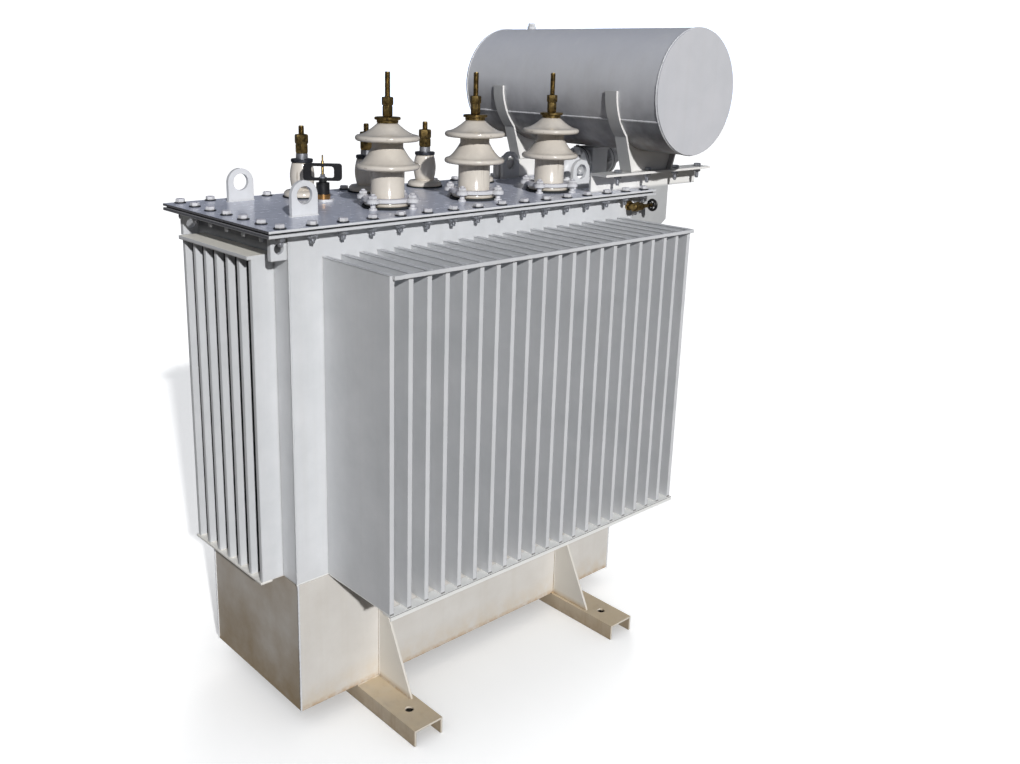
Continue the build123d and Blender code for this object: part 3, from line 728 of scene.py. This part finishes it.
def addLowTerminal(number, seat, bottom, b):
    flange, collar, metal = bmesh.new(), bmesh.new(), bmesh.new()
    z = bottom
    for mesh, (radius, height), segments in ((flange, b["washer"], 36), (collar, b["cap"], 30)):
        turn(mesh, [(0, z), (radius, z), (radius, z + height - 1), (radius - 1, z + height), (0, z + height)],
             seat, segments)
        z += height
    finishPiece("low_terminal_flange_%d" % number, flange, finishes["washerSteel"])
    finishPiece("low_terminal_collar_%d" % number, collar, finishes["zinc"])
    flats, height = b["nut"]
    for k in range(b["nuts"]):
        turn(metal, nut(flats, z, height), seat @ turned(b["nutTurn"] * k), 6)
        z += height
    radius, length = b["threaded"]
    turn(metal, thread(radius, z, z + length), seat, 18)
    piece = finishPiece("low_terminal_metal_%d" % number, metal, finishes["brass"])
    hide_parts("lv_terminal_%d" % number)


for bushingNumber in range(1, lowBushing["count"] + 1):
    centre = middle("lv_porcelain_%d" % bushingNumber)
    coverSeat = upright(centre.x, centre.y, tank["coverTop"])
    porcelainTop = addLowPorcelain(bushingNumber, coverSeat, lowBushing)
    addLowTerminal(bushingNumber, coverSeat, porcelainTop, lowBushing)
print("low-voltage bushings dressed")

# Tap changer: a brass pin up through the loop, and the pale washer and nut that hold the loop down
tapPin = {
    "pin": 3.2, "rise": 0.6, "tip": 1.8, "tipLength": 13, "tipEdge": 0.8,
    "nutSeat": 10.6, "room": 0.6, "washer": (9, 2), "nut": (11, 6),
}


def addTapPin(t):
    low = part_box("tap_changer_handle")[0]
    spot = middle("tap_changer_body")
    pin = bmesh.new()
    length = (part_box("tap_changer_body")[1].z - low.z) / mm + t["rise"]
    tipEnd = length + t["tipLength"]
    turn(pin, [(0, 0), (t["pin"], 0), (t["pin"], length - 2), (t["tip"], length), (t["tip"], tipEnd - 1),
               (t["tip"] - t["tipEdge"], tipEnd), (0, tipEnd)], upright(spot.x, spot.y, low.z), 18)
    finishPiece("tap_pin", pin, finishes["brass"])
    hold = bmesh.new()
    seat = upright(spot.x, spot.y, low.z + t["nutSeat"] * mm)
    inside = t["pin"] + t["room"]
    washer, thickness = t["washer"]
    turn(hold, [(inside, 0), (washer, 0), (washer, thickness), (inside, thickness)], seat, 24)
    flats, height = t["nut"]
    corner = flats / math.sqrt(3)
    turn(hold, [(inside, thickness), (corner, thickness), (corner, thickness + height),
                (inside, thickness + height)], seat, 6)
    finishPiece("tap_handle_nut", hold, finishes["zinc"], body="tap_handle")


addTapPin(tapPin)
print("tap changer dressed")

# Oil pipe and gas relay: bolts round each flange, a dark joint ring, screws on the relay's lid
pipeJoints = {
    "flange": 40, "thickness": 10, "boltCircle": 31, "bolt": (13, 6), "bolts": 6, "riserBolts": 4,
    "joint": (40.6, 0.7), "axisRise": 42, "lidScrewAt": (27, 29), "lidScrew": (9, 3.5), "lidScrewSunk": 1.2,
}


def addPipeJoints(p):
    low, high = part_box("gas_relay")
    relay = middle("gas_relay")
    fixings, rings = bmesh.new(), bmesh.new()
    flats, height = p["bolt"]
    head = nut(flats, p["thickness"], height)
    out = upright(p["boltCircle"] * mm, 0, 0)
    joint, half = p["joint"]
    for x in (low.x, high.x):
        alongX = upright(x, relay.y, low.z + p["axisRise"] * mm) @ turned(math.pi / 2, "Y")
        turn(rings, disc(joint, -half, half), alongX, 40)
        for k in range(p["bolts"]):
            spot = alongX @ turned(2 * math.pi * (k + 0.5) / p["bolts"]) @ out
            for flip in (0, math.pi):
                turn(fixings, head, spot @ turned(flip, "X"), 6)
    riser = upright(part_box("oil_pipe")[0].x + p["flange"] * mm, relay.y, tank["coverTop"])
    for k in range(p["riserBolts"]):
        turn(fixings, head, riser @ turned(2 * math.pi * (k + 0.5) / p["riserBolts"]) @ out, 6)
    alongLid, acrossLid = p["lidScrewAt"]
    flats, height = p["lidScrew"]
    for dx in (-alongLid, alongLid):
        for dy in (-acrossLid, acrossLid):
            seat = upright(relay.x + dx * mm, relay.y + dy * mm, high.z - p["lidScrewSunk"] * mm)
            turn(fixings, nut(flats, 0, height), seat, 6)
    finishPiece("pipe_flange_bolts", fixings, paints["fittings"])
    finishPiece("pipe_joint_rings", rings, finishes["rubber"])


addPipeJoints(pipeJoints)
print("oil pipe dressed")

# Oil valve: turned brass body with a hexagon, a gland nut and a black five-spoke handwheel
valveLook = {
    "mouth": 9, "body": 11, "bodyEdge": 2, "mouthEnd": 10, "hexagon": (22, 9, 16), "bonnet": (24, 34),
    "gland": (14, 34, 9), "stem": (5, 43, 76), "neck": 9, "neckAlong": 17, "neckFlange": (4, 5),
    "wheel": 17, "wheelAlong": 80.5, "rim": 3.6, "rimSteps": 12, "hub": (6, 4.5),
    "spokes": 5, "spoke": (2.4, 1.8),
}


def addValve(v):
    low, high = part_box("oil_valve")
    y, z = low.y + v["wheel"] * mm, (low.z + high.z) / 2
    alongX = upright(low.x, y, z) @ turned(math.pi / 2, "Y")
    body, edge = v["body"], v["bodyEdge"]
    metal = bmesh.new()
    turn(metal, [(0, 0), (v["mouth"], 0), (body, edge), (body, v["mouthEnd"] - 1),
                 (body - edge, v["mouthEnd"])], alongX, 28)
    turn(metal, nut(*v["hexagon"]), alongX, 6)
    start, end = v["bonnet"]
    turn(metal, [(0, start), (body, start), (body, end - edge), (body - edge, end), (0, end)], alongX, 28)
    turn(metal, nut(*v["gland"]), alongX, 6)
    turn(metal, disc(*v["stem"]), alongX, 18)
    reach = (high.y - y) / mm
    neck, (wider, thickness) = v["neck"], v["neckFlange"]
    toTank = upright(low.x + v["neckAlong"] * mm, y, z) @ turned(-math.pi / 2, "X")
    turn(metal, [(0, 0), (neck, 0), (neck, reach - thickness - 1), (neck + wider, reach - thickness),
                 (neck + wider, reach), (0, reach)], toTank, 24)
    piece = finishPiece("valve_brass", metal, finishes["brass"])
    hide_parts("oil_valve")

    wheel = bmesh.new()
    middleOfWheel = alongX @ upright(0, 0, v["wheelAlong"] * mm)
    rim = v["rim"]
    inside = v["wheel"] - rim
    angles = [2 * math.pi * k / v["rimSteps"] for k in range(v["rimSteps"] + 1)]
    turn(wheel, [(inside + rim * math.cos(a), rim * math.sin(a)) for a in angles], middleOfWheel, 36)
    hub, half = v["hub"]
    turn(wheel, [(0, -half), (hub, -half), (hub, 3), (hub - 2, half), (0, half)], middleOfWheel, 20)
    thick, thin = v["spoke"]
    for k in range(v["spokes"]):
        spoke = middleOfWheel @ turned(2 * math.pi * k / v["spokes"]) @ turned(math.pi / 2, "Y")
        turn(wheel, [(0, 3), (thick, 3), (thin, inside), (0, inside)], spoke, 8)
    finishPiece("valve_handwheel", wheel, finishes["phenolic"])


addValve(valveLook)
print("valve dressed")

# Bolts of the conservator's brackets, through each angle's flat leg
bracketBolts = {
    "alongBeam": (70, 190, 310, 410), "inLeg": 22, "leg": 6, "head": (17, 8),
    "nutHeight": 9, "nutTurn": 0.6, "end": 5.5, "endLength": 26, "pitch": 3,
}


def addBracketBolts(b):
    bolts = bmesh.new()
    flats, height = b["head"]
    for side in ("front", "back"):
        low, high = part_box(side + "_bracket")
        y = low.y + b["inLeg"] * mm if side == "front" else high.y - b["inLeg"] * mm
        for k, along in enumerate(b["alongBeam"]):
            x = low.x + along * mm
            turn(bolts, nut(flats, 0, height), upright(x, y, high.z) @ turned(k), 6)
            below = hanging(x, y, high.z - b["leg"] * mm) @ turned(b["nutTurn"] * k)
            turn(bolts, nut(flats, 0, b["nutHeight"]), below, 6)
            turn(bolts, thread(b["end"], b["nutHeight"] - 1, b["endLength"], b["pitch"]), below, 12)
    finishPiece("bracket_bolts", bolts, finishes["zinc"])


addBracketBolts(bracketBolts)

# Filler cap: a hexagon plug on a short neck
fillerPlug = {"neck": 12, "hexagon": (17, 8)}


def addFillerPlug(f):
    low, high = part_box("filler_cap")
    spot = middle("filler_cap")
    seat = upright(spot.x, spot.y, low.z)
    neck, (flats, height) = f["neck"], f["hexagon"]
    neckTop = (high.z - low.z) / mm - height
    plug = bmesh.new()
    turn(plug, [(0, 0), (neck, 0), (neck, neckTop - 1), (neck - 1, neckTop), (0, neckTop)], seat, 30)
    turn(plug, nut(flats, neckTop, height), seat, 6)
    piece = finishPiece("filler_plug", plug, paints["fittings"])
    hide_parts("filler_cap")


addFillerPlug(fillerPlug)
print("brackets and filler dressed")

# Weld beads, painted over: radius in mm of each kind of joint
welds = {"corner": 2.2, "baseCorner": 2.4, "seam": 2.6, "finTop": 1.3, "gusset": 2.6, "lug": 2.6, "drum": 1.8}


def levelRing(low, high, z):
    corners = ((low.x, low.y), (high.x, low.y), (high.x, high.y), (low.x, high.y))
    return [Vector((x, y, z)) for x, y in corners]


def addTankWelds(w):
    beads, edges = bmesh.new(), bmesh.new()
    low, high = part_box("lower_tank")
    for x in (tank["left"], tank["right"]):
        for y in (tank["front"], tank["back"]):
            weld(beads, [Vector((x, y, tank["finBottom"])), Vector((x, y, tank["underFlange"]))], w["corner"])
    weld(beads, levelRing(low, high, tank["finBottom"] - 1 * mm), w["seam"], closed=True)
    finishPiece("tank_weld_beads", beads, paints["tank"])
    for x in (low.x, high.x):
        for y in (low.y, high.y):
            weld(edges, [Vector((x, y, low.z)), Vector((x, y, high.z))], w["baseCorner"])
    finishPiece("base_weld_beads", edges, paints["fittings"])


# Each fin's top is closed by a thin bead along both folds.
finLayout = {"start": 80, "endGap": 41, "pitch": 46, "thickness": 11, "depth": 226, "count": 21}


def addFinBeads(f, radius):
    for side, wall, sense in (("front", tank["front"], -1), ("back", tank["back"], 1)):
        beads = bmesh.new()
        ends = (wall, wall + sense * f["depth"] * mm)
        for k in range(f["count"]):
            x = tank["left"] + (f["start"] + k * f["pitch"]) * mm
            for edge in (x, x + f["thickness"] * mm):
                weld(beads, [Vector((edge, y, tank["finTop"])) for y in ends], radius)
        finishPiece(side + "_fin_beads", beads, paints["tank"])


# The strip under each long bank of fins has a lip folded down along its outer edge.
finLip = {"drop": 7, "thickness": 2.5, "fold": 1.0, "beyondFins": 4}


def addFinLips(lip, f):
    mesh = bmesh.new()
    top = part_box("front_fin_wall")[0].z
    bottom = top - lip["drop"] * mm
    fold = lip["fold"] * mm
    start, end = tank["left"] + f["start"] * mm, tank["right"] - f["endGap"] * mm
    for wall, sense in ((tank["front"], -1), (tank["back"], 1)):
        edge = wall + sense * (f["depth"] + lip["beyondFins"]) * mm
        inner = edge - sense * lip["thickness"] * mm
        outline = [(edge, top), (edge, bottom + fold), (edge - sense * fold, bottom),
                   (inner, bottom), (inner, top)]
        rings = [[mesh.verts.new((x, y, z)) for y, z in outline] for x in (start, end)]
        for k in range(len(outline)):
            j = (k + 1) % len(outline)
            mesh.faces.new((rings[0][k], rings[0][j], rings[1][j], rings[1][k]))
        for ring in rings:
            mesh.faces.new(ring)
    finishPiece("fin_strip_lips", mesh, paints["tank"])


# Where the gussets stand on the skids: mm from the skid's middle, half the plate, and how far its beads run
gussetLook = {"inset": 28, "halfPlate": 3, "beadUp": 238, "beadOut": 120, "halfChannel": 40}


def addSkidWelds(g, radius):
    beads = bmesh.new()
    low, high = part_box("lower_tank")
    foot = tank["bottom"]
    for name, sideways in (("skid_left", 1), ("skid_right", -1)):
        spot = middle(name)
        half = g["halfChannel"] * mm
        for wall, sense in ((low.y, -1), (high.y, 1)):
            for face in (-g["halfPlate"], g["halfPlate"]):
                x = spot.x + (sideways * g["inset"] + face) * mm
                weld(beads, [Vector((x, wall, foot + g["beadUp"] * mm)), Vector((x, wall, foot)),
                             Vector((x, wall + sense * g["beadOut"] * mm, foot))], radius)
            weld(beads, [Vector((spot.x - half, wall, foot)), Vector((spot.x + half, wall, foot))], radius)
    finishPiece("skid_weld_beads", beads, paints["base"])


def addLugWelds(radius):
    beads = bmesh.new()
    for end in ("left", "right"):
        for side in ("front", "back"):
            low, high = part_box("lifting_lug_" + side + "_" + end)
            weld(beads, levelRing(low, high, low.z), radius, closed=True)
    finishPiece("lug_weld_beads", beads, paints["fittings"])


# The drum's long seam lies below its middle on the tank's side.
drumSeam = {"below": 27, "ringSteps": 240}  # degrees, and steps round each end


def addDrumWelds(d, w):
    beads = bmesh.new()
    low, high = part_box("conservator_shell")
    centre = (low + high) / 2
    radius = (high.x - low.x) / 2
    angles = [2 * math.pi * k / d["ringSteps"] for k in range(d["ringSteps"])]
    for y in (low.y, high.y):
        ring = [centre + Vector((radius * math.cos(a), y - centre.y, radius * math.sin(a))) for a in angles]
        weld(beads, ring, w["drum"], closed=True)
    slope = math.radians(180 + d["below"])
    seam = Vector((centre.x + radius * math.cos(slope), 0, centre.z + radius * math.sin(slope)))
    weld(beads, [Vector((seam.x, y, seam.z)) for y in (low.y, high.y)], w["seam"])
    finishPiece("drum_weld_beads", beads, paints["fittings"])


addTankWelds(welds)
addFinBeads(finLayout, welds["finTop"])
addFinLips(finLip, finLayout)
addSkidWelds(gussetLook, welds["gusset"])
addLugWelds(welds["lug"])
addDrumWelds(drumSeam, welds)
print("weld beads laid")

# Floor: a wide white disc, lit a little from within, that throws back part of the key light
floorLook = {
    "radius": 24.0, "drop": 0.4, "colour": "#fbfbfa", "patch": ("#f7f7f6", 900), "thrownBack": "#767068",
    "glow": 0.52, "glowColour": "#ffffff", "reach": 0.5,
}


# Paper sweep, matt: plain white with the faintest clouding, and a soft contact shade under the object.
def paperSweep(f):
    material, tree, shader, place = newMaterial("paper sweep, matt", {
        "Roughness": 0.9, "Specular IOR Level": 0.0, "Emission Color": hexToLinear(f["glowColour"])})
    patchColour, patchSize = f["patch"]
    clouding = patches(tree, place, patchSize, 0.3, 0.7)
    stops = [(0, patchColour), (1, f["colour"])]
    seen = addNode(tree, "ValToRGB", {"stops": stops}, {"Fac": clouding}).outputs[0]
    ray = addNode(tree, "LightPath").outputs["Is Camera Ray"]
    thrown = {"Color1": hexToLinear(f["thrownBack"])}
    shade = addNode(tree, "MixRGB", thrown, {"Fac": ray, "Color2": seen}).outputs[0]
    tree.links.new(shade, shader.inputs["Base Color"])
    openness = addNode(tree, "AmbientOcclusion", {"samples": 8, "Distance": f["reach"]}).outputs["AO"]
    both = {"operation": "MULTIPLY", "use_clamp": True}
    lit = addNode(tree, "Math", both, {0: openness, 1: ray}).outputs[0]
    glow = addNode(tree, "MapRange", {"To Max": f["glow"]}, {"Value": lit}).outputs[0]
    tree.links.new(glow, shader.inputs["Emission Strength"])
    return material


def addFloor(f):
    sheet = bmesh.new()
    turn(sheet, [(0, 0), (f["radius"] / mm, 0)], upright(0, 0, -f["drop"] * mm), 96)
    bmesh.ops.reverse_faces(sheet, faces=sheet.faces[:])
    data = bpy.data.meshes.new("floor")
    sheet.to_mesh(data)
    sheet.free()
    floor = bpy.data.objects.new("floor", data)
    scene.collection.objects.link(floor)
    data.materials.append(paperSweep(f))


addFloor(floorLook)

# The camera stands at the tank's left front corner, a little above the cover.
cameraView = {
    "place": (-1.6636, -1.8798, 1.4773),  # metres
    "azimuth": -41.741,
    "elevation": 15.175,
    "roll": 1.218,
    "lens": 35.03,
    "sensor": 36,
    "shift": (0.0419, -0.0535),
    "farthest": 100,
}


def addCamera(view):
    azimuth, elevation, roll = (math.radians(view[key]) for key in ("azimuth", "elevation", "roll"))
    reach = math.cos(elevation)
    back = Vector((math.sin(azimuth) * reach, -math.cos(azimuth) * reach, math.sin(elevation)))
    right = Vector((math.cos(azimuth), math.sin(azimuth), 0))
    up = back.cross(right)
    rolledRight = math.cos(roll) * right + math.sin(roll) * up
    rolledUp = -math.sin(roll) * right + math.cos(roll) * up
    data = bpy.data.cameras.new("camera")
    data.sensor_width = view["sensor"]
    data.lens = view["lens"]
    data.shift_x, data.shift_y = view["shift"]
    data.clip_end = view["farthest"]
    camera = bpy.data.objects.new("camera", data)
    scene.collection.objects.link(camera)
    stance = Matrix((rolledRight, rolledUp, back)).transposed().to_4x4()
    camera.matrix_world = upright(*view["place"]) @ stance
    scene.camera = camera


addCamera(cameraView)

# Light: a low key lamp from the front, a little to the left, and a wide soft one behind, in a dim white room
lightPlan = {
    "lamps": {  # energy, then azimuth, elevation and softness in degrees
        "key": (3.05, -23, 25.5, 1.5),
        "fill": (3.0, 138, 7, 30),
    },
    "room": 0.13, "roomColour": "#dbe6fb", "backdrop": 1.8,
}


def addLight(plan):
    for name, (energy, azimuth, elevation, softness) in plan["lamps"].items():
        sun = bpy.data.lights.new(name, "SUN")
        sun.energy = energy
        sun.angle = math.radians(softness)
        lamp = bpy.data.objects.new(name, sun)
        lamp.rotation_euler = (math.radians(90 - elevation), 0, math.radians(azimuth))
        lamp.visible_glossy = name == "key"  # the lamp behind gives no glare on the cover
        scene.collection.objects.link(lamp)
    world = bpy.data.worlds.new("room")
    scene.world = world
    world.use_nodes = True
    tree = world.node_tree
    background = tree.nodes["Background"]
    background.inputs["Color"].default_value = hexToLinear(plan["roomColour"])
    ray = addNode(tree, "LightPath").outputs["Is Camera Ray"]
    ends = {"To Min": plan["room"], "To Max": plan["backdrop"]}
    strength = addNode(tree, "MapRange", ends, {"Value": ray}).outputs[0]
    tree.links.new(strength, background.inputs["Strength"])
    scene.view_settings.view_transform = "Standard"


addLight(lightPlan)
print("stage, camera and light set")
